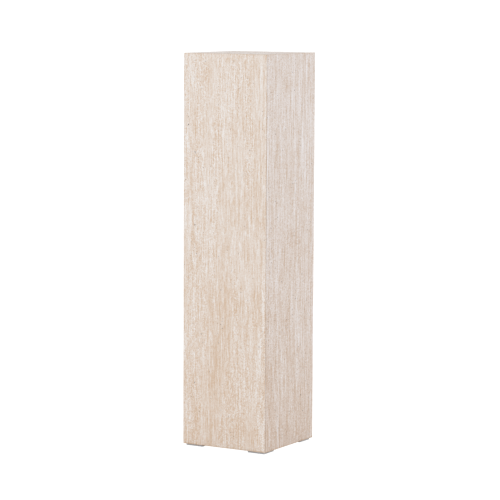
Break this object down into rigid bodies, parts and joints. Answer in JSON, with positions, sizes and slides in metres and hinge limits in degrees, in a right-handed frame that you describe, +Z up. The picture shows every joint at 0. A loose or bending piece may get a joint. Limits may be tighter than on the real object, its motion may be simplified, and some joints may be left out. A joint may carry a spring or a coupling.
{
  "type": "decorative column",
  "caption": "Tall square pedestal in pale vein-cut travertine, a hollow mitred box with a flat top for display, standing on low corner pads.",
  "frame": {"origin": "centre of the square footprint, on the surface that the pads stand on", "axes": "+Z up along the column, -Y out of the front face, +X out of the right face; the column is square, so its four sides are alike"},
  "size_m": [0.25, 0.25, 1.03],
  "materials": {
    "travertine": "matte",
    "pad_plastic": "matte"
  },
  "bodies": {
    "root": {"front_slab": "travertine", "right_slab": "travertine", "back_slab": "travertine", "left_slab": "travertine", "top_slab": "travertine", "front_left_pad": "pad_plastic", "front_right_pad": "pad_plastic", "back_right_pad": "pad_plastic", "back_left_pad": "pad_plastic"}
  },
  "joints": []
}
